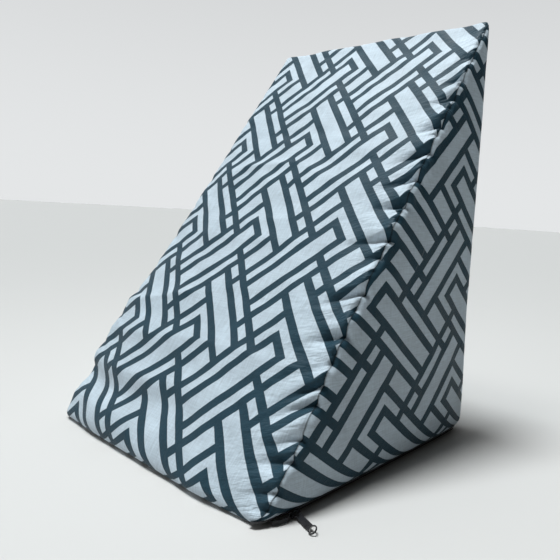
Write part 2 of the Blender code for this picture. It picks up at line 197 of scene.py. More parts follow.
# The zip along the base edge of the +X side: its tape leans outward and faces down
TAPE_TILT = math.radians(45)
TAPE_OUT = Vector((math.cos(TAPE_TILT), 0, -math.sin(TAPE_TILT)))
TAPE_ACROSS = Vector((math.sin(TAPE_TILT), 0, math.cos(TAPE_TILT)))
TAPE_TOP = 0.0014  # from the seam to the tape's outer face
COIL_FROM = -0.1455
COIL_TO = 0.1676
TOOTH = (  # across the tape, height over it
    (-0.0006, 0.0004),
    (-0.0003, 0.0013),
    (0.0008, 0.0015),
    (0.0016, 0.0012),
    (0.0019, 0.0005),
)
SLIDER_PLACE = (0.0066, -0.152, -0.0014)  # x and z off the seam, with the slider's y between them
SLIDER_TILT = math.radians(30)
SLIDER_OUTLINE = (  # along the zip, half width
    (-0.0055, 0.0020),
    (-0.0042, 0.0033),
    (-0.0008, 0.0033),
    (0.0055, 0.0024),
)
PLATE_FROM, PLATE_TO = 0.0007, 0.0018
SLIDER_RIM = 0.0007
SLIDER_POST = ((-0.0007, -0.0042, -0.0007), (0.0007, -0.0018, 0.0007))
BAIL_FEET = 0.0040
BAIL_RADIUS = 0.00055
PULL_START = Vector((0.0037, 0, 0.0003))
PULL_TURN = math.radians(-16.0)
PULL_ROLL = math.radians(40.0)
PULL_CORNER = 0.0016
PULL_EDGE = 0.0003
PULL_SLOT = (0.0010, 0.0030, 0.0021)  # from, to, half width

# Cells of the cover's grids before they are subdivided once
CELLS_HALF_SLOPE = 64
CELLS_FRONT = 12
CELLS_ACROSS = 48
EDGE_CROWDING = 0.42


class CoverSizes(bpy.types.PropertyGroup):
    """Sizes of the sewn cover and of the way it sits on the foam."""

    width: FloatProperty(name="Width", description="Between the two side panels", default=0.400, unit="LENGTH")
    depth: FloatProperty(name="Depth", description="From the front edge to the back", default=0.380, unit="LENGTH")
    height: FloatProperty(name="Height", description="Of the top edge", default=0.575, unit="LENGTH")
    front_slack: FloatProperty(
        name="Front slack", description="How far loose cloth stands ahead of the front edge",
        default=0.021, unit="LENGTH",
    )
    slope_crown: FloatProperty(name="Slope crown", description="Rise of the slope's middle", default=0.004, unit="LENGTH")
    back_crown: FloatProperty(name="Back crown", description="Rise of the back's middle", default=0.005, unit="LENGTH")
    side_crown: FloatProperty(name="Side crown", description="Rise of the sides' middle", default=0.008, unit="LENGTH")
    gather: FloatProperty(
        name="Gather", description="Share of spare cloth along the seams", default=0.10, subtype="FACTOR",
    )
    settle_frames: IntProperty(name="Settling", description="Steps for which the cloth settles", default=15)
    settle_limit: FloatProperty(
        name="Settling limit", description="The most that a point of the cloth may move while it settles",
        default=0.004, unit="LENGTH",
    )


class PrintSettings(bpy.types.PropertyGroup):
    """The printed repeat's size and colours."""

    square: FloatProperty(name="Chart square", description="Width of the thin bars", default=0.01111, unit="LENGTH")
    narrower: FloatProperty(
        name="Narrower", description="How many times more of the repeat fits across the cloth", default=1.10,
    )
    shorter: FloatProperty(
        name="Shorter", description="How many times more of the repeat fits along the cloth", default=1.0125,
    )
    pale: FloatVectorProperty(
        name="Pale bars", description="Colour of the bars", default=(0.485, 0.575, 0.645), subtype="COLOR", size=3,
    )
    ground: FloatVectorProperty(
        name="Ground", description="Colour between the bars", default=(0.011, 0.042, 0.064), subtype="COLOR", size=3,
    )
    thread: FloatProperty(name="Thread pitch", description="Between two threads of the weave", default=0.0006, unit="LENGTH")


class StudioSettings(bpy.types.PropertyGroup):
    """Floor, light and camera."""

    floor: FloatVectorProperty(
        name="Floor", description="Colour of the floor", default=(0.57, 0.564, 0.552), subtype="COLOR", size=3,
    )
    key: FloatProperty(name="Key light", description="Strength of the broad light from above", default=3.1)
    haze: FloatProperty(
        name="Top light", description="Power of the near light over the top edge", default=5.0, unit="POWER",
    )
    backdrop: FloatProperty(name="Backdrop", description="Strength of the pale surroundings on the left", default=0.80)
    dim_side: FloatProperty(name="Dim side", description="Strength of the surroundings on the right", default=0.05)
    overhead: FloatProperty(
        name="Overhead", description="Strength overhead as a share of that at the horizon", default=0.5, subtype="FACTOR",
    )


class ZipSizes(bpy.types.PropertyGroup):
    """Sizes of the zip's coil, slider and pull."""

    pitch: FloatProperty(name="Tooth pitch", description="Between two teeth of one row", default=0.0014, unit="LENGTH")
    wire: FloatProperty(name="Tooth wire", description="Radius of the nylon of a tooth", default=0.00034, unit="LENGTH")
    pull_length: FloatProperty(name="Pull length", description="Of the whole pull", default=0.0345, unit="LENGTH")
    pull_width: FloatProperty(name="Pull width", description="Of its flat shank", default=0.0064, unit="LENGTH")
    pull_thick: FloatProperty(name="Pull thickness", description="Of the plate", default=0.0014, unit="LENGTH")
    ring: FloatProperty(name="Ring", description="Outer radius of the ring", default=0.00475, unit="LENGTH")
    hole: FloatProperty(name="Ring hole", description="Radius of the ring's hole", default=0.0034, unit="LENGTH")


class Wire:
    """A shader socket in an expression: each operation on it adds one Math node."""

    def __init__(self, board, socket):
        self.board = board
        self.socket = socket

    def __add__(self, other):
        return self.board.maths("ADD", self, other)

    def __radd__(self, other):
        return self.board.maths("ADD", other, self)

    def __sub__(self, other):
        return self.board.maths("SUBTRACT", self, other)

    def __rsub__(self, other):
        return self.board.maths("SUBTRACT", other, self)

    def __mul__(self, other):
        return self.board.maths("MULTIPLY", self, other)

    def __rmul__(self, other):
        return self.board.maths("MULTIPLY", other, self)

    def __truediv__(self, other):
        return self.board.maths("DIVIDE", self, other)

    def __mod__(self, other):
        return self.board.maths("FLOORED_MODULO", self, other)

    def __abs__(self):
        return self.board.maths("ABSOLUTE", self)


class Board:
    """The node board of one material, with its Principled shader."""

    def __init__(self, name, **uniform):
        self.material = bpy.data.materials.new(name)
        self.material.use_nodes = True
        self.tree = self.material.node_tree
        self.shader = self.tree.nodes["Principled BSDF"]
        for key, value in uniform.items():
            self.shader.inputs[key.replace("_", " ")].default_value = value

    def add(self, kind, settings=None, inputs=None):
        """A node of this kind. Its settings are set first, then its sockets take values or wires."""
        node = self.tree.nodes.new(kind)
        for key, value in (settings or {}).items():
            setattr(node, key, value)
        for key, value in (inputs or {}).items():
            if isinstance(value, Wire):
                self.tree.links.new(value.socket, node.inputs[key])
            else:
                node.inputs[key].default_value = value
        return node

    def wire(self, node, output=0):
        return Wire(self, node.outputs[output])

    def maths(self, operation, *values):
        return self.wire(self.add("ShaderNodeMath", {"operation": operation}, dict(enumerate(values))))

    def least(self, *values):
        found = values[0]
        for value in values[1:]:
            found = self.maths("MINIMUM", found, value)
        return found

    def most(self, *values):
        found = values[0]
        for value in values[1:]:
            found = self.maths("MAXIMUM", found, value)
        return found

    def clamp(self, value):
        settings = {"operation": "MULTIPLY", "use_clamp": True}
        return self.wire(self.add("ShaderNodeMath", settings, {0: value, 1: 1.0}))

    def spread(self, value, low, high, new_low, new_high):
        """The value, carried from one range over to another and held there."""
        inputs = {0: value, 1: low, 2: high, 3: new_low, 4: new_high}
        return self.wire(self.add("ShaderNodeMapRange", None, inputs))

    def colour(self, first, second, share, blend="MIX"):
        """A colour between two, by the share of the second."""
        settings = {"data_type": "RGBA", "blend_type": blend}
        return self.wire(self.add("ShaderNodeMix", settings, {0: share, 6: first, 7: second}), 2)

    def place(self, attribute):
        """The three parts of a stored place."""
        stored = self.wire(self.add("ShaderNodeAttribute", {"attribute_name": attribute}), 1)
        parts = self.add("ShaderNodeSeparateXYZ", None, {0: stored})
        return [self.wire(parts, number) for number in range(3)]

    def vector(self, x, y, z=0.0):
        return self.wire(self.add("ShaderNodeCombineXYZ", None, {0: x, 1: y, 2: z}))

    def noise(self, at, scale, detail=2.0, roughness=0.5):
        inputs = {"Vector": at, "Scale": scale, "Detail": detail, "Roughness": roughness}
        return self.wire(self.add("ShaderNodeTexNoise", None, inputs))

    def object_place(self):
        return self.wire(self.add("ShaderNodeTexCoord"), 3)

    def bump(self, height, distance, strength=1.0, normal=None):
        inputs = {"Height": height, "Distance": distance, "Strength": strength}
        if normal is not None:
            inputs["Normal"] = normal
        return self.wire(self.add("ShaderNodeBump", None, inputs))

    def feed(self, socket, value):
        """Links a wire to one of the shader's sockets."""
        self.tree.links.new(value.socket, self.shader.inputs[socket])


def rgba(colour):
    return (*colour, 1.0)


def bell(distance, spread):
    """A weight of 1 at no distance that fades smoothly away over the spread."""
    return np.exp(-((distance / spread) ** 2))


def smooth_curve(table, at):
    """Values on a smooth curve through a table's rows of place and value."""
    places, values = np.array(table).T
    slopes = np.gradient(values, places)
    i = np.clip(np.searchsorted(places, at) - 1, 0, len(places) - 2)
    span = places[i + 1] - places[i]
    t = np.clip((at - places[i]) / span, 0, 1)
    ease = t * t * (3 - 2 * t)
    leaving = t * (1 - t) ** 2 * slopes[i] * span
    arriving = t * t * (1 - t) * slopes[i + 1] * span
    return values[i] + (values[i + 1] - values[i]) * ease + leaving - arriving


def round_off(distance, reach):
    """How far an edge's rounding moves a point along each of the two faces that meet there."""
    return reach * np.clip(1 - distance / reach, 0, 1) ** 2 / 4


class Places:
    """Where points of the plain wedge lie against its three faces and its seams."""

    def __init__(self, plain, sizes):
        self.sizes = sizes
        half_depth = sizes.depth / 2
        self.x = plain[:, 0]
        self.side = np.where(self.x > 0, 1.0, -1.0)
        self.inset = sizes.width / 2 - abs(self.x)
        self.slack = smooth_curve(SLACK_ACROSS, self.x)
        self.toe = -half_depth - sizes.front_slack * self.slack
        toward_front = (half_depth - plain[:, 1]) / sizes.depth
        self.y = half_depth + (self.toe - half_depth) * toward_front
        self.z = plain[:, 2]
        rise = np.stack([half_depth - self.toe, np.full(len(plain), sizes.height)])
        self.slope_length = np.hypot(*rise)
        self.up_slope = rise / self.slope_length
        self.slope_out = np.stack([-self.up_slope[1], self.up_slope[0]])
        from_toe = np.stack([self.y - self.toe, self.z])
        self.climb = (from_toe * self.up_slope).sum(0)
        self.share_up = np.clip(self.climb / self.slope_length, 0, 1)
        self.below_slope = np.maximum(-(from_toe * self.slope_out).sum(0), 0)
        self.ahead_of_back = half_depth - self.y
        self.on_base = self.z < MM / 1000

    def off_seam(self):
        """Distance from the nearest seam between a side panel and the long strip."""
        nearest = np.minimum(np.minimum(self.below_slope, self.z), self.ahead_of_back)
        return self.inset + nearest


def along_section(directions, amount):
    """A move in the section, as rows of x, y and z."""
    return np.stack([np.zeros(len(amount)), directions[0] * amount, directions[1] * amount], 1)


def edge_rounding(places):
    """The moves that round the top, heel and front edges."""
    sizes = places.sizes
    count = len(places.x)
    down, forward, back = np.array([0, -1]), np.array([-1, 0]), np.array([1, 0])
    front_reach = FRONT_ROUND + (FRONT_ROUND_SLACK - FRONT_ROUND) * places.slack
    half_depth = sizes.depth / 2
    move = np.zeros((count, 3))
    for corner_y, corner_z, one_way, other_way, reach in (
        (half_depth, sizes.height, -places.up_slope, down[:, None], TOP_ROUND),
        (half_depth, 0, -down[:, None], forward[:, None], HEEL_ROUND),
        (places.toe, 0, back[:, None], places.up_slope, front_reach),
    ):
        distance = np.hypot(places.y - corner_y, places.z - corner_z)
        way = (one_way + other_way) * np.ones((2, count))
        move += along_section(way, round_off(distance, reach))
    return move


def seam_rounding(places):
    """The moves that round the seams between the side panels and the long strip."""
    base_reach = np.where(places.side > 0, ZIP_SEAM_ROUND, SEAM_ROUND)
    count = len(places.x)
    move = np.zeros((count, 3))
    up, forward = np.array([[0], [1]]), np.array([[-1], [0]])
    for distance, inward, reach in (
        (places.below_slope, -places.slope_out, SEAM_ROUND),
        (places.z, up * np.ones((2, count)), base_reach),
        (places.ahead_of_back, forward * np.ones((2, count)), SEAM_ROUND),
    ):
        amount = round_off(places.inset + distance, reach)
        move += along_section(inward, amount)
        move[:, 0] -= places.side * amount
    return move


def crowning(places):
    """The moves that crown the slope, the back and the two side panels."""
    sizes = places.sizes
    across = 1 - (2 * places.x / sizes.width) ** 4
    slope = sizes.slope_crown * across * np.sin(math.pi * places.share_up)
    slope *= bell(places.below_slope, BELLY_SPREAD_IN)
    back = sizes.back_crown * across * np.sin(math.pi * np.clip(places.z / sizes.height, 0, 1))
    back *= bell(places.ahead_of_back, BELLY_SPREAD_IN)
    fullest = sizes.depth * sizes.height / 3
    middle = np.sqrt(
        np.clip(places.below_slope, 0, None) * math.hypot(sizes.depth, sizes.height) / fullest
        * places.z * 3 / sizes.height
        * np.clip(places.ahead_of_back, 0, None) * 3 / sizes.depth
    )
    move = along_section(places.slope_out, slope)
    move[:, 1] += back
    move[:, 0] += places.side * sizes.side_crown * middle * bell(places.inset, SEAM_ROUND)
    return move


def bellying(places):
    """The sideways move of the slack cloth low on the sides."""
    push = np.zeros(len(places.x))
    for side, most, height, spread in BELLIES:
        push += np.where(places.side == side, most * bell(places.z - height, spread), 0)
    ends = 1 - BELLY_END_LOSS * np.clip(abs(2 * places.y / places.sizes.depth), 0, 1) ** 6
    move = np.zeros((len(push), 3))
    move[:, 0] = places.side * push * ends * np.exp(-places.inset / BELLY_SPREAD_IN)
    return move


def crease_depth(places, side, share, depth, length, drop):
    """How deep one crease lies, with the puff above it as a negative depth."""
    length = length * PINCH_SHORTER
    inset = places.inset + places.below_slope
    width = PINCH_HALF_WIDTH * (1 + PINCH_FLARE * inset / length) * min(1, depth / 0.004) ** 0.5
    above = places.climb - share * places.slope_length + drop * inset / length
    crease = np.exp(-abs(above / width) ** 1.5)
    rise = np.clip(above / PUFF_REACH, 0, None)
    puff = PUFF_SHARE * rise * np.exp(1 - rise)
    found = depth * PINCH_DEEPER[side] * (crease - puff) * bell(inset, length)
    return np.where(places.side == side, found, 0)


def small_pleats():
    """Rows like those of the pinches, for the small pleats between them."""
    chance = np.random.default_rng(SEED)
    for side, most in SMALL_PLEAT_DEPTH.items():
        for number in range(SMALL_PLEATS):
            share = (number + chance.uniform(0.1, 0.9)) / SMALL_PLEATS
            end_loss = min(1, 6 * share, 6 * (1 - share))
            size = chance.uniform(0.25, 1.0) * end_loss
            drop = SMALL_PLEAT_DROP * chance.uniform(0.2, 1.4)
            yield side, share, most * size, SMALL_PLEAT_LENGTH * (0.4 + 0.8 * size), drop


def pillows(places):
    """How far the full cloth between the pinches stands out, on the slope beside its seams."""
    inset = places.inset + places.below_slope
    full = np.where(places.side > 0, PILLOW_HEIGHT[1], PILLOW_HEIGHT[-1])
    full *= bell(inset - PILLOW_INSET, PILLOW_REACH) * np.sqrt(np.sin(math.pi * places.share_up))
    for side, share, depth, length, drop in PINCHES:
        above = places.climb - share * places.slope_length + drop * inset / length
        hollow = min(1, depth / 0.005) * bell(above, PILLOW_GAP)
        full *= 1 - np.where(places.side == side, hollow, 0)
    return full


def pinching(places):
    """The puckers along the slope's seams: creases drawn in at each pinch, and puffs between."""
    amount = sum(crease_depth(places, *row) for row in (*PINCHES, *small_pleats()))
    amount = (amount - pillows(places)) * np.exp(-places.below_slope / SEAM_ROUND)
    move = along_section(-places.slope_out, amount)
    move[:, 0] -= places.side * PINCH_DRAW * amount
    return move


def crumpling(places):
    """Small loose waves in every direction, still along the seams."""
    chance = np.random.default_rng(SEED)
    at = np.stack([places.x, places.climb, places.ahead_of_back])
    rise = np.zeros(len(places.x))
    for number in range(CRUMPLES):
        way = chance.normal(size=3)
        way /= np.linalg.norm(way)
        length = CRUMPLE_LENGTHS[0] * (CRUMPLE_LENGTHS[1] / CRUMPLE_LENGTHS[0]) ** (number / CRUMPLES)
        height = CRUMPLE_HEIGHT * (length / CRUMPLE_LENGTHS[0]) ** 0.8
        rise += height * np.sin(2 * math.pi * (way @ at) / length + chance.uniform(0, 2 * math.pi))
    rise *= 1 - bell(places.off_seam(), SEAM_ROUND)
    on_side = bell(places.inset, MM)
    on_slope = bell(places.below_slope, MM)
    on_back = bell(places.ahead_of_back, MM) * (1 - on_slope)
    move = along_section(places.slope_out, rise * on_slope * (1 - on_side))
    move[:, 1] += rise * on_back * (1 - on_side)
    move[:, 0] += places.side * rise * on_side * CRUMPLE_SHARE_SIDE
    return move


def seam_drawing(places):
    """The narrow valley in which the side panels' seams lie."""
    depth = SEAM_DRAW * bell(places.off_seam(), SEAM_DRAW_REACH)
    depth *= 1 - np.where(places.side > 0, bell(places.z, ZIP_SEAM_ROUND), 0)
    near_slope = places.below_slope < np.minimum(places.z, places.ahead_of_back)
    move = along_section(-places.slope_out, np.where(near_slope, depth, 0))
    move[:, 1] -= np.where(near_slope, 0, depth) * bell(places.ahead_of_back, SEAM_ROUND)
    move[:, 0] -= places.side * depth
    return move


def folding(places):
    """The creases and loose waves of the slope, each along a bent line drawn on it."""
    rise = np.zeros(len(places.x))
    for _, half_width, softness, points in FOLDS:
        nearest = np.full(len(places.x), np.inf)
        high = np.zeros(len(places.x))
        for (start_x, start_up, start_rise), (end_x, end_up, end_rise) in zip(points, points[1:]):
            run_x = end_x - start_x
            run_climb = (end_up - start_up) * places.slope_length
            from_x, from_climb = places.x - start_x, places.climb - start_up * places.slope_length
            t = np.clip((from_x * run_x + from_climb * run_climb) / (run_x**2 + run_climb**2), 0, 1)
            distance = np.hypot(from_x - t * run_x, from_climb - t * run_climb)
            high = np.where(distance < nearest, start_rise + (end_rise - start_rise) * t, high)
            nearest = np.minimum(nearest, distance)
        rise += high * np.exp(-((nearest / half_width) ** softness))
    return along_section(places.slope_out, rise * np.exp(-places.below_slope / SEAM_ROUND))


def shaped(plain, sizes):
    """Where the cover has the points of the plain wedge once it is drawn over the foam."""
    places = Places(plain, sizes)
    loose = crowning(places) + bellying(places) + pinching(places) + folding(places)
    loose += crumpling(places) + seam_drawing(places)
    loose[places.on_base, 2] = 0
    moved = np.stack([places.x, places.y, places.z], 1)
    moved += edge_rounding(places) + seam_rounding(places) + loose
    moved[:, 2] = np.maximum(moved[:, 2], 0)
    return moved


def on_cloth(across, down, start, turn):
    """The place on the cloth of a place on a panel, from where the repeat starts there."""
    across, down = across - start[0], down - start[1]
    return (
        across * math.cos(turn) + down * math.sin(turn),
        down * math.cos(turn) - across * math.sin(turn),
    )


def strip_place(co, run, sizes):
    """The cloth's place on the long strip, run metres below the top edge, and the seam's distance."""
    seam = sizes.width / 2 - abs(co.x)
    slope = math.hypot(sizes.depth, sizes.height)
    across, down = co.x, run + STRIP_LEAN * co.x
    for x, share_up, reach, slip_right, slip_down in SLIPS:
        away = math.hypot(co.x - x, run - slope * (1 - share_up))
        weight = math.exp(-((away / reach) ** 2))
        across += slip_right * weight
        down += slip_down * weight
    return (*on_cloth(across, down, STRIP_START, 0.0), seam)


def side_place(co, side, sizes):
    """The same on a side panel, which is cut with the print turned a quarter."""
    ahead = sizes.depth / 2 - co.y
    below_slope = (sizes.depth * (sizes.height - co.z) - sizes.height * ahead) / math.hypot(sizes.depth, sizes.height)
    seam = min(co.z, ahead, below_slope)
    down = sizes.height - co.z + ROLL_UNDER * math.exp(-co.z / ROLL_HEIGHT)
    right, down = on_cloth(side * co.y + sizes.depth / 2, down, SIDE_START, SIDE_TURN)
    return (-down, right, seam)


def lay_panel(mesh, layer, cells, corners, cloth_place, ease=None):
    """A flat panel as a grid between four corners, each loop with its place on the cloth."""
    grid = bmesh.ops.create_grid(mesh, x_segments=cells[0], y_segments=cells[1], size=0.5)
    a, b, c, d = (Vector(corner) for corner in corners)
    for vertex in grid["verts"]:
        s, t = vertex.co.x + 0.5, vertex.co.y + 0.5
        if ease:
            s = ease(s)
        vertex.co = a.lerp(b, s).lerp(d.lerp(c, s), t)
    for face in {face for vertex in grid["verts"] for face in vertex.link_faces}:
        for loop in face.loops:
            loop[layer] = cloth_place(loop.vert.co)


def crowded(s):
    """The share across a panel, with the cells narrower near the seams."""
    c = 2 * s - 1
    return 0.5 + 0.5 * (EDGE_CROWDING * c + (1 - EDGE_CROWDING) * math.sin(math.pi * c / 2))


def panels(sizes):
    """Rows of cells, corners, the cloth's place and easing for each grid of the cover."""
    half_w, half_d, high = sizes.width / 2, sizes.depth / 2, sizes.height
    slope = math.hypot(sizes.depth, high)
    n, m = CELLS_HALF_SLOPE, CELLS_FRONT

    def down_slope(co):
        return strip_place(co, slope * (1 - co.z / high), sizes)

    def under_base(co):
        return strip_place(co, slope + co.y + half_d, sizes)

    def up_back(co):
        return strip_place(co, slope + sizes.depth + co.z, sizes)

    left, right = -half_w, half_w
    rows = [
        ((CELLS_ACROSS, 2 * n), (left, -half_d, 0), (right, -half_d, 0), (right, half_d, high),
         (left, half_d, high), down_slope, crowded),
        ((CELLS_ACROSS, m + n), (left, -half_d, 0), (right, -half_d, 0), (right, half_d, 0),
         (left, half_d, 0), under_base, crowded),
        ((CELLS_ACROSS, n + m), (left, half_d, 0), (right, half_d, 0), (right, half_d, high),
         (left, half_d, high), up_back, crowded),
    ]
    share = m / (m + n)
    for side in (-1, 1):
        x = side * half_w
        front, heel, top = Vector((x, -half_d, 0)), Vector((x, half_d, 0)), Vector((x, half_d, high))
        mid_slope = (front + top) / 2
        mid_base = front.lerp(heel, share)
        mid_back = top.lerp(heel, share)
        inward = Vector((0, high, -sizes.depth)) / slope
        inner = mid_slope + inward * (mid_base - front).length

        def on_side(co, side=side):
            return side_place(co, side, sizes)

        rows += [
            ((m, n), front, mid_base, inner, mid_slope, on_side, None),
            ((n, n), mid_base, heel, mid_back, inner, on_side, None),
            ((m, n), mid_slope, inner, mid_back, top, on_side, None),
        ]
    return rows


def cover_mesh(sizes):
    """The cover's closed mesh, still as flat panels that meet in sharp seams."""
    mesh = bmesh.new()
    layer = mesh.loops.layers.float_vector.new("cloth_place")
    for cells, *corners, cloth_place, ease in panels(sizes):
        lay_panel(mesh, layer, cells, corners, cloth_place, ease)
    bmesh.ops.remove_doubles(mesh, verts=mesh.verts, dist=MM / 10)
    bmesh.ops.recalc_face_normals(mesh, faces=mesh.faces)
    data = bpy.data.meshes.new("cover")
    mesh.to_mesh(data)
    mesh.free()
    return data


def points_of(data):
    co = np.empty(len(data.vertices) * 3, np.float32)
    data.vertices.foreach_get("co", co)
    return co.reshape(-1, 3).astype(float)


def set_points(data, points):
    data.vertices.foreach_set("co", points.astype(np.float32).ravel())
    data.update()


def finer(piece, kind):
    """A copy of the piece's mesh with each face parted in four."""
    modifier = piece.modifiers.new("finer", "SUBSURF")
    modifier.subdivision_type = kind
    modifier.levels = 1
    bpy.context.view_layer.update()
    shown = piece.evaluated_get(bpy.context.evaluated_depsgraph_get())
    data = bpy.data.meshes.new_from_object(shown)
    piece.modifiers.remove(modifier)
    return data


def store_puckers(data, places):
    """Keeps each point's climb along the slope's seam, its distance from it and how much it gathers."""
    off = places.inset + places.below_slope
    amount = np.exp(-off / LOOSE_BAND) * np.where(places.side > 0, 1.0, 0.5)
    amount *= np.where(places.below_slope > MM, 0.35, 1.0)
    amount *= np.clip(places.ahead_of_back / SEAM_ROUND, 0, 1) * np.clip(places.z / SEAM_ROUND, 0, 1)
    stored = data.attributes.new("puckers", "FLOAT_VECTOR", "POINT")
    values = np.stack([places.climb, off, amount], 1).astype(np.float32)
    stored.data.foreach_set("vector", values.ravel())


def weigh(piece, name, weights):
    """A vertex group with these weights."""
    group = piece.vertex_groups.new(name=name)
    for level in np.unique(np.round(weights, 2)):
        chosen = np.flatnonzero(np.round(weights, 2) == level)
        group.add(chosen.tolist(), float(level), "REPLACE")


HOLD_SEAM = 0.6
HOLD_FACE = 0.2
HOLD_NEAR_SEAM = 0.0
LOOSE_BAND = 0.040


def settle(piece, places, sizes):
    """Lets the cover settle as cloth, with spare length along its seams that has to pucker."""
    start = points_of(piece.data)
    off = places.off_seam()
    loose = np.exp(-off / LOOSE_BAND)
    hold = HOLD_FACE + (HOLD_NEAR_SEAM - HOLD_FACE) * loose
    hold = np.where(off < MM, HOLD_SEAM, hold)
    hold = np.where(places.z < MM, 1.0, hold)
    weigh(piece, "hold", hold)
    weigh(piece, "gather", np.exp(-off / LOOSE_BAND))
    modifier = piece.modifiers.new("settling", "CLOTH")
    cloth = modifier.settings
    cloth.quality = 5
    cloth.mass = 0.01
    cloth.tension_stiffness = 60
    cloth.compression_stiffness = 60
    cloth.shear_stiffness = 2
    cloth.bending_stiffness = 0.005
    cloth.vertex_group_mass = "hold"
    cloth.pin_stiffness = 1.0
    cloth.vertex_group_shrink = "gather"
    cloth.shrink_min = 0.0
    cloth.shrink_max = -sizes.gather
    cloth.use_pressure = True
    cloth.uniform_pressure_force = 2.0
    cloth.effector_weights.gravity = 0
    modifier.collision_settings.use_collision = False
    modifier.point_cache.frame_end = sizes.settle_frames
    scene = bpy.context.scene
    for number in range(1, sizes.settle_frames + 1):
        scene.frame_set(number)
    settled = piece.evaluated_get(bpy.context.evaluated_depsgraph_get())
    moved = points_of(settled.data) - start
    length = np.maximum(np.linalg.norm(moved, axis=1), 1e-9)
    limit = sizes.settle_limit
    moved *= (loose * limit * np.tanh(length / limit) / length)[:, None]
    scene.frame_set(1)
    piece.modifiers.remove(modifier)
    points = start + moved
    points[:, 2] = np.maximum(points[:, 2], 0)
    set_points(piece.data, points)
    return length


def printed_cloth(settings):
    """Smooth printed canvas: the charted bars, uneven ink, warp streaks and a fine plain weave, with painted shade
    along the seams.
    """
    board = Board(
        "printed_cloth", Roughness=0.5, Sheen_Weight=0.03, Sheen_Roughness=0.5, Specular_IOR_Level=0.19,
    )
    right, down, seam = board.place("cloth_place")
    right, down = right * settings.narrower, down * settings.shorter
    at = board.vector(right, down)
    wobble = board.noise(at, 160.0) * 0.05 - 0.025
    step = math.sqrt(2) * settings.square
    along = (right - down) / step + wobble
    across = (right + down) / step + wobble
    found = []
    for offset in (0, REPEAT_SQUARES / 2):
        a = (along + offset) % REPEAT_SQUARES
        off = abs((across + offset) % REPEAT_SQUARES - BAR_MIDDLE)
        for _, a_from, a_to, off_from, off_to in BARS:
            inside = board.least(a - a_from, a_to - a, off_to - off)
            if off_from:
                inside = board.least(inside, off - off_from)
            found.append(inside)
    ink_edge = 0.05
    bars = board.clamp(board.most(*found) / ink_edge + 0.5)

    warp = board.noise(board.vector(right * 620.0, down * 45.0), 1.0, 2.0)
    weft = board.noise(board.vector(right * 45.0, down * 620.0), 1.0, 2.0)
    streaks = warp * 0.62 + weft * 0.38
    patches = board.noise(at, 16.0, 4.0)
    tone_and_seam_shade = board.spread(streaks, 0.32, 0.68, 0.82, 1.10) * board.spread(patches, 0.3, 0.7, 0.92, 1.06)
    # Painted shade: the colour darkens to 35 per cent within a millimetre of each seam, standing in for the shadow in
    # the seam's groove.
    tone_and_seam_shade = tone_and_seam_shade * board.spread(seam, 0.0002, 0.0012, 0.35, 1.0)
    colour = board.colour(rgba(settings.ground), rgba(settings.pale), bars)
    shade = board.vector(tone_and_seam_shade, tone_and_seam_shade, tone_and_seam_shade)
    scaled = board.wire(board.add("ShaderNodeVectorMath", {"operation": "MULTIPLY"}, {0: colour, 1: shade}))
    board.feed("Base Color", scaled)

    turn = 2 * math.pi / settings.thread
    weave = board.maths("SINE", right * turn) * board.maths("SINE", down * turn)
    crumple = board.noise(at, 55.0, 4.0, 0.6)
    creases = 1 - board.clamp(abs(board.noise(at, 24.0, 3.0, 0.55) - 0.5) * 14.0)
    climb, off, gather = board.place("puckers")
    slanted = board.vector((climb + off * 0.35) * 95.0, off * 26.0, 4.0)
    pleats = board.clamp(abs(board.noise(slanted, 1.0, 3.0) - 0.5) * 4.0)
    fine = board.bump(weave * 0.5 + streaks * 2.0, 0.00012, 0.6)
    loose = board.bump(crumple + creases * 0.25, 0.0016, 0.45, fine)
    normal = board.bump(pleats * gather, 0.0028, 0.70, loose)
    board.feed("Normal", normal)
    board.feed("Roughness", board.spread(patches + streaks, 0.7, 1.3, 0.44, 0.58))
    return board.material


def link(piece):
    bpy.context.scene.collection.objects.link(piece)
    return piece


class CUSHION_OT_cover(bpy.types.Operator):
    """Build the printed cover over the foam wedge"""

    bl_idname = "cushion.cover"
    bl_label = "Printed cover"

    def execute(self, context):
        sizes = context.scene.cover_sizes
        data = cover_mesh(sizes)
        plain = points_of(data)
        cover = link(bpy.data.objects.new("cover", data))
        fine_plain = points_of(finer(cover, "SIMPLE"))
        settled = np.zeros(fine_plain.shape)
        places = Places(plain, sizes)
        set_points(data, shaped(plain, sizes))
        before = points_of(finer(cover, "CATMULL_CLARK"))
        settle(cover, places, sizes)
        settled = points_of(finer(cover, "CATMULL_CLARK")) - before
        set_points(data, plain)
        data = finer(cover, "SIMPLE")
        cover.data = data
        places = Places(fine_plain, sizes)
        points = shaped(fine_plain, sizes) + settled
        points[:, 2] = np.maximum(points[:, 2], 0)
        set_points(data, points)
        store_puckers(data, places)
        data.materials.append(printed_cloth(context.scene.print_settings))
        data.shade_smooth()
        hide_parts("cushion")
        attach(cover, "root")
        return {"FINISHED"}


def base_edges(sizes, ys):
    """Points of the +X side's base seam at these places along it."""
    half_depth = sizes.depth / 2
    toe = -half_depth - sizes.front_slack * SLACK_ACROSS[-1][1]
    plain_y = half_depth - (half_depth - np.asarray(ys)) * sizes.depth / (half_depth - toe)
    count = len(plain_y)
    return shaped(np.stack([np.full(count, sizes.width / 2), plain_y, np.zeros(count)], 1), sizes)


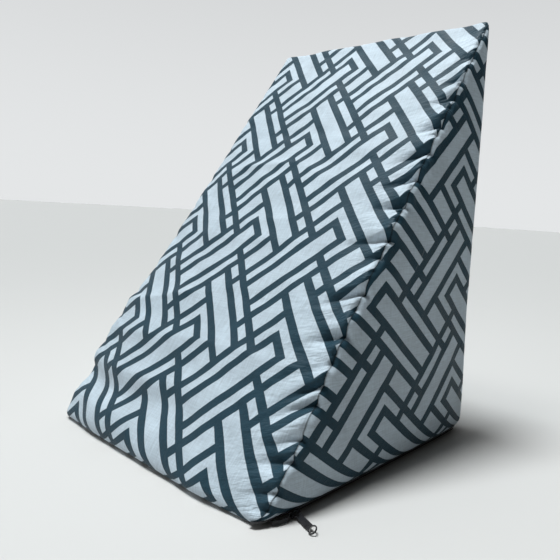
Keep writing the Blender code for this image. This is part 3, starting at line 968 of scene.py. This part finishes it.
def tube(mesh, route, radius, sides=8, flat=1.0):
    """A round bar along a route, with closed ends. Flat is its thickness as a share of its width."""
    rings = []
    count = len(route)
    side_way = None
    for k, at in enumerate(route):
        ahead = (route[min(k + 1, count - 1)] - route[max(k - 1, 0)]).normalized()
        if side_way is None:
            side_way = ahead.orthogonal()
        side_way = (side_way - ahead * side_way.dot(ahead)).normalized()
        other_way = ahead.cross(side_way)
        ring = []
        for step in range(sides):
            angle = 2 * math.pi * step / sides
            offset = side_way * math.cos(angle) * radius + other_way * math.sin(angle) * radius * flat
            ring.append(mesh.verts.new(at + offset))
        rings.append(ring)
    for first, second in zip(rings, rings[1:]):
        for step in range(sides):
            after = (step + 1) % sides
            mesh.faces.new((first[step], first[after], second[after], second[step]))
    mesh.faces.new(list(reversed(rings[0])))
    mesh.faces.new(rings[-1])


def plate(mesh, outline, low, high):
    """A plate with this outline of y and z, between two x."""
    face = mesh.faces.new([mesh.verts.new((low, y, z)) for y, z in outline])
    grown = bmesh.ops.extrude_face_region(mesh, geom=[face], use_keep_orig=True)
    moved = [item for item in grown["geom"] if isinstance(item, bmesh.types.BMVert)]
    bmesh.ops.translate(mesh, verts=moved, vec=(high - low, 0, 0))


def mesh_piece(name, mesh, material, node):
    """A linked piece made of this mesh, in the place of a CAD node."""
    bmesh.ops.recalc_face_normals(mesh, faces=mesh.faces)
    data = bpy.data.meshes.new(name)
    mesh.to_mesh(data)
    mesh.free()
    data.materials.append(material)
    data.shade_smooth()
    data.set_sharp_from_angle(angle=math.radians(50))
    piece = link(bpy.data.objects.new(name, data))
    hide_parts(node)
    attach(piece, "root")
    return piece


def webbing():
    """Black woven tape, in fine ribs along its length."""
    board = Board("zip_webbing", Roughness=0.8, Specular_IOR_Level=0.3, Sheen_Weight=0.15)
    at = board.object_place()
    parts = board.add("ShaderNodeSeparateXYZ", None, {0: at})
    along, across = board.wire(parts, 1), board.wire(parts, 2)
    ribs = board.maths("SINE", across * 9000.0) * 0.5 + board.maths("SINE", along * 5200.0) * 0.5
    lint = board.noise(at, 700.0, 3.0)
    board.feed("Base Color", board.colour((0.007, 0.008, 0.010, 1.0), (0.030, 0.031, 0.034, 1.0), lint))
    board.feed("Normal", board.bump(ribs + lint, 0.00015, 0.7))
    board.feed("Roughness", board.spread(lint, 0.3, 0.7, 0.72, 0.88))
    return board.material


def nylon():
    """Black nylon of the coil, a little glossy where it has rubbed."""
    board = Board("zip_nylon", Specular_IOR_Level=0.5)
    at = board.object_place()
    rubbed = board.noise(at, 260.0, 3.0)
    board.feed("Base Color", board.colour((0.008, 0.008, 0.009, 1.0), (0.026, 0.027, 0.029, 1.0), rubbed))
    board.feed("Roughness", board.spread(rubbed, 0.3, 0.7, 0.42, 0.26))
    board.feed("Normal", board.bump(board.noise(at, 1800.0), 0.00004, 0.5))
    return board.material


def lacquer(name, worn_at=None, worn_to=0.0):
    """Black lacquered metal. Its lacquer may have worn through in a rim round a place."""
    board = Board(name, Specular_IOR_Level=0.35)
    at = board.object_place()
    grain = board.noise(at, 900.0, 3.0)
    dust = board.noise(at, 240.0, 4.0)
    lacquered = board.colour((0.010, 0.010, 0.012, 1.0), (0.028, 0.028, 0.031, 1.0), dust)
    if worn_at is None:
        board.feed("Base Color", lacquered)
        board.shader.inputs["Metallic"].default_value = 0.1
    else:
        from_rim = board.wire(board.add("ShaderNodeVectorMath", {"operation": "DISTANCE"}, {0: at, 1: worn_at}), 1)
        edge = from_rim + (dust - 0.5) * 0.0008
        worn = board.spread(edge, worn_to, worn_to + 0.0002, 0.55, 0.0)
        board.feed("Base Color", board.colour(lacquered, (0.62, 0.61, 0.59, 1.0), worn))
        board.feed("Metallic", worn)
    board.feed("Roughness", board.spread(grain * 0.5 + dust * 0.5, 0.3, 0.7, 0.22, 0.38))
    board.feed("Normal", board.bump(dust, 0.00008, 0.5))
    return board.material


class CUSHION_OT_tape(bpy.types.Operator):
    """Give the zip's tape and its loose end their woven finish"""

    bl_idname = "cushion.tape"
    bl_label = "Zip tape"

    def execute(self, context):
        woven = webbing()
        for node in ("zip_tape", "tape_tail"):
            bpy.data.objects[node].material_slots[0].material = woven
        return {"FINISHED"}


class CUSHION_OT_coil(bpy.types.Operator):
    """Build the zip's closed coil, tooth by tooth"""

    bl_idname = "cushion.coil"
    bl_label = "Zip coil"

    def execute(self, context):
        sizes, zip_sizes = context.scene.cover_sizes, context.scene.zip_sizes
        ys = np.arange(COIL_FROM, COIL_TO, zip_sizes.pitch / 2)
        mesh = bmesh.new()
        for number, edge in enumerate(base_edges(sizes, ys)):
            side = 1 if number % 2 else -1
            start = Vector(edge) + TAPE_OUT * TAPE_TOP
            route = [start + TAPE_ACROSS * side * across + TAPE_OUT * height for across, height in TOOTH]
            tube(mesh, route, zip_sizes.wire, 6)
        mesh_piece("coil", mesh, nylon(), "zip_coil")
        return {"FINISHED"}


def slider_frame(sizes):
    """The slider's place and turn."""
    out, y, down = SLIDER_PLACE
    edge = Vector(base_edges(sizes, [y])[0])
    return Matrix.Translation((edge.x + out, y, edge.z + down)) @ Matrix.Rotation(SLIDER_TILT, 4, "Y")


class CUSHION_OT_slider(bpy.types.Operator):
    """Build the slider's body: two plates, the post between them and the bail that holds the pull"""

    bl_idname = "cushion.slider"
    bl_label = "Zip slider"

    def execute(self, context):
        sizes = context.scene.cover_sizes
        place = slider_frame(sizes)
        mesh = bmesh.new()
        outline = [(y, half) for y, half in SLIDER_OUTLINE]
        outline += [(y, -half) for y, half in reversed(SLIDER_OUTLINE)]
        plate(mesh, outline, PLATE_FROM, PLATE_TO)
        plate(mesh, outline, -PLATE_TO, -PLATE_FROM)
        for side in (-1, 1):
            rim = [(y, side * half) for y, half in SLIDER_OUTLINE[1:]]
            rim += [(y, side * (half - SLIDER_RIM)) for y, half in reversed(SLIDER_OUTLINE[1:])]
            plate(mesh, rim, -PLATE_FROM * 0.98, PLATE_FROM * 0.98)
        (x0, y0, z0), (x1, y1, z1) = SLIDER_POST
        plate(mesh, [(y0, z0), (y1, z0), (y1, z1), (y0, z1)], x0 * 0.98, x1 * 0.98)
        bmesh.ops.recalc_face_normals(mesh, faces=mesh.faces)
        bmesh.ops.bevel(mesh, geom=mesh.edges[:], offset=SLIDER_RIM / 3, segments=2, affect="EDGES")
        slot_from, slot_to, _ = PULL_SLOT
        through = PULL_START + self.pull_turn() @ Vector(((slot_from + slot_to) / 2, 0, 0))
        apex = place.to_3x3().inverted() @ through
        foot = Vector((PLATE_TO - BAIL_RADIUS, 0, 0))
        route = []
        for step in range(17):
            angle = math.pi * step / 16
            lift = math.sin(angle) ** 0.8
            along = Vector((0, -BAIL_FEET * math.cos(angle), 0))
            route.append(foot.lerp(apex, lift) + along)
        tube(mesh, route, BAIL_RADIUS)
        piece = mesh_piece("slider", mesh, lacquer("slider_lacquer"), "zip_slider")
        piece.matrix_world = place
        return {"FINISHED"}

    @staticmethod
    def pull_turn():
        return Matrix.Rotation(PULL_TURN, 3, "Z") @ Matrix.Rotation(PULL_ROLL, 3, "X")


def arc(centre, radius, start, end, steps):
    """Points of an arc in the plane, angles in degrees."""
    points = []
    for step in range(steps + 1):
        angle = math.radians(start + (end - start) * step / steps)
        points.append((centre[0] + radius * math.cos(angle), centre[1] + radius * math.sin(angle)))
    return points


class CUSHION_OT_pull(bpy.types.Operator):
    """Build the pull: a flat shank with a slot for the bail and a ring at its end"""

    bl_idname = "cushion.pull"
    bl_label = "Zip pull"

    def execute(self, context):
        zip_sizes = context.scene.zip_sizes
        half = zip_sizes.pull_width / 2
        head = (zip_sizes.pull_length - zip_sizes.ring, 0)
        round_to = 180 - math.degrees(math.asin(half / zip_sizes.ring))
        inner = half - PULL_CORNER
        outline = arc(head, zip_sizes.ring, -round_to, round_to, 40)
        outline += arc((PULL_CORNER, inner), PULL_CORNER, 90, 180, 6)
        outline += arc((PULL_CORNER, -inner), PULL_CORNER, 180, 270, 6)
        hole = arc(head, zip_sizes.hole, 360, 0, 40)[:-1]
        slot_from, slot_to, slot_half = PULL_SLOT
        slot = [(slot_from, -slot_half), (slot_from, slot_half), (slot_to, slot_half), (slot_to, -slot_half)]
        flat = bpy.data.curves.new("pull", "CURVE")
        flat.dimensions = "2D"
        flat.fill_mode = "BOTH"
        flat.extrude = zip_sizes.pull_thick / 2 - PULL_EDGE
        flat.bevel_depth = PULL_EDGE
        flat.bevel_resolution = 2
        flat.offset = -PULL_EDGE
        for points in (outline, hole, slot):
            spline = flat.splines.new("POLY")
            spline.points.add(len(points) - 1)
            spline.use_cyclic_u = True
            for point, (a, b) in zip(spline.points, points):
                point.co = (a, b, 0, 1)
        shape = link(bpy.data.objects.new("pull_outline", flat))
        bpy.context.view_layer.update()
        data = bpy.data.meshes.new_from_object(shape.evaluated_get(bpy.context.evaluated_depsgraph_get()))
        bpy.data.objects.remove(shape)
        mesh = bmesh.new()
        mesh.from_mesh(data)
        bmesh.ops.remove_doubles(mesh, verts=mesh.verts, dist=MM / 100)
        worn = lacquer("pull_lacquer", (*head, 0.0), zip_sizes.hole + PULL_EDGE / 6)
        piece = mesh_piece("pull", mesh, worn, "zip_pull")
        start = slider_frame(context.scene.cover_sizes).translation + PULL_START
        turn = Matrix.Rotation(PULL_TURN, 4, "Z") @ Matrix.Rotation(PULL_ROLL, 4, "X")
        piece.matrix_world = Matrix.Translation(start) @ turn
        return {"FINISHED"}


KEY_WAY = (-0.20, -0.10, 0.97)
TOP_LIGHT_PLACE = (0.0, -0.12, 1.40)
TOP_LIGHT_AIM = (0.05, 0.06, 0.40)
TOP_LIGHT_SIZE = 0.3
KEY_SOFTNESS = math.radians(16)
PALE_TO = -0.25  # the surroundings are pale up to this x of a direction, and dim from the next
DIM_FROM = 0.20
EYE = Vector((0.5753, -0.5278, 0.3008))
VIEW_RIGHT = Vector((0.77816, 0.62520, 0.05994))
VIEW_AHEAD = Vector((-0.61675, 0.77868, -0.11522))


class CUSHION_OT_studio(bpy.types.Operator):
    """Add the floor, the soft lights and the camera"""

    bl_idname = "cushion.studio"
    bl_label = "Studio"

    def execute(self, context):
        scene = context.scene
        settings = scene.studio_settings
        self.add_floor(settings)
        self.add_lights(scene, settings)
        self.add_camera(scene)
        return {"FINISHED"}

    def add_floor(self, settings):
        mesh = bmesh.new()
        bmesh.ops.create_grid(mesh, x_segments=8, y_segments=8, size=30.0)
        data = bpy.data.meshes.new("floor")
        mesh.to_mesh(data)
        mesh.free()
        floor = link(bpy.data.objects.new("floor", data))
        floor.location.z = -0.0002
        board = Board("floor_paper", Roughness=0.9, Base_Color=rgba(settings.floor))
        data.materials.append(board.material)

    def add_lights(self, scene, settings):
        lamp = bpy.data.lights.new("key", "SUN")
        lamp.energy = settings.key
        lamp.angle = KEY_SOFTNESS
        lamp.color = (0.93, 0.98, 1.0)
        light = link(bpy.data.objects.new("key", lamp))
        light.rotation_euler = Vector(KEY_WAY).to_track_quat("Z", "Y").to_euler()
        panel = bpy.data.lights.new("top light", "AREA")
        panel.energy = settings.haze
        panel.shape = "DISK"
        panel.size = TOP_LIGHT_SIZE
        near = link(bpy.data.objects.new("top light", panel))
        near.location = TOP_LIGHT_PLACE
        near.rotation_euler = (Vector(TOP_LIGHT_PLACE) - Vector(TOP_LIGHT_AIM)).to_track_quat("Z", "Y").to_euler()
        world = bpy.data.worlds.new("studio")
        world.use_nodes = True
        tree = world.node_tree
        place = tree.nodes.new("ShaderNodeTexCoord")
        parts = tree.nodes.new("ShaderNodeSeparateXYZ")
        tree.links.new(place.outputs["Generated"], parts.inputs[0])
        across = tree.nodes.new("ShaderNodeMapRange")
        across.interpolation_type = "SMOOTHSTEP"
        tree.links.new(parts.outputs["X"], across.inputs["Value"])
        across.inputs["From Min"].default_value = PALE_TO
        across.inputs["From Max"].default_value = DIM_FROM
        across.inputs["To Min"].default_value = settings.backdrop
        across.inputs["To Max"].default_value = settings.dim_side
        upward = tree.nodes.new("ShaderNodeMapRange")
        upward.interpolation_type = "SMOOTHSTEP"
        tree.links.new(parts.outputs["Z"], upward.inputs["Value"])
        upward.inputs["To Min"].default_value = 1.0
        upward.inputs["To Max"].default_value = settings.overhead
        both = tree.nodes.new("ShaderNodeMath")
        both.operation = "MULTIPLY"
        tree.links.new(across.outputs[0], both.inputs[0])
        tree.links.new(upward.outputs[0], both.inputs[1])
        tint = tree.nodes.new("ShaderNodeMix")
        tint.data_type = "RGBA"
        tree.links.new(parts.outputs["X"], tint.inputs[0])
        tint.inputs[6].default_value = (0.97, 0.99, 1.0, 1.0)
        tint.inputs[7].default_value = (1.0, 0.95, 0.84, 1.0)
        sky = tree.nodes["Background"]
        tree.links.new(tint.outputs[2], sky.inputs["Color"])
        tree.links.new(both.outputs[0], sky.inputs["Strength"])
        scene.world = world
        scene.view_settings.view_transform = "Standard"

    def add_camera(self, scene):
        data = bpy.data.cameras.new("camera")
        data.sensor_width = 36.0
        data.lens = 35.953
        data.shift_x = -0.15
        data.clip_start = 0.01
        camera = link(bpy.data.objects.new("camera", data))
        ahead = VIEW_AHEAD.normalized()
        right = (VIEW_RIGHT - ahead * VIEW_RIGHT.dot(ahead)).normalized()
        up = right.cross(ahead)
        turn = Matrix((right, up, -ahead)).transposed().to_4x4()
        camera.matrix_world = Matrix.Translation(EYE) @ turn
        scene.camera = camera


class VIEW3D_PT_wedge_cushion(bpy.types.Panel):
    """The steps that build the cushion"""

    bl_label = "Wedge cushion"
    bl_space_type = "VIEW_3D"
    bl_region_type = "UI"
    bl_category = "Cushion"

    def draw(self, context):
        for step in STEPS:
            self.layout.operator(step.bl_idname)


GROUPS = {
    "cover_sizes": CoverSizes,
    "print_settings": PrintSettings,
    "zip_sizes": ZipSizes,
    "studio_settings": StudioSettings,
}
STEPS = (
    CUSHION_OT_cover, CUSHION_OT_tape, CUSHION_OT_coil, CUSHION_OT_slider, CUSHION_OT_pull, CUSHION_OT_studio,
)


def register():
    for cls in (*GROUPS.values(), *STEPS, VIEW3D_PT_wedge_cushion):
        bpy.utils.register_class(cls)
    for name, cls in GROUPS.items():
        setattr(bpy.types.Scene, name, PointerProperty(type=cls))


def unregister():
    for name in GROUPS:
        delattr(bpy.types.Scene, name)
    for cls in (VIEW3D_PT_wedge_cushion, *reversed(STEPS), *GROUPS.values()):
        bpy.utils.unregister_class(cls)


def main():
    register()
    bpy.ops.cushion.cover()
    bpy.ops.cushion.tape()
    bpy.ops.cushion.coil()
    bpy.ops.cushion.slider()
    bpy.ops.cushion.pull()
    bpy.ops.cushion.studio()


if __name__ == "__main__":
    main()
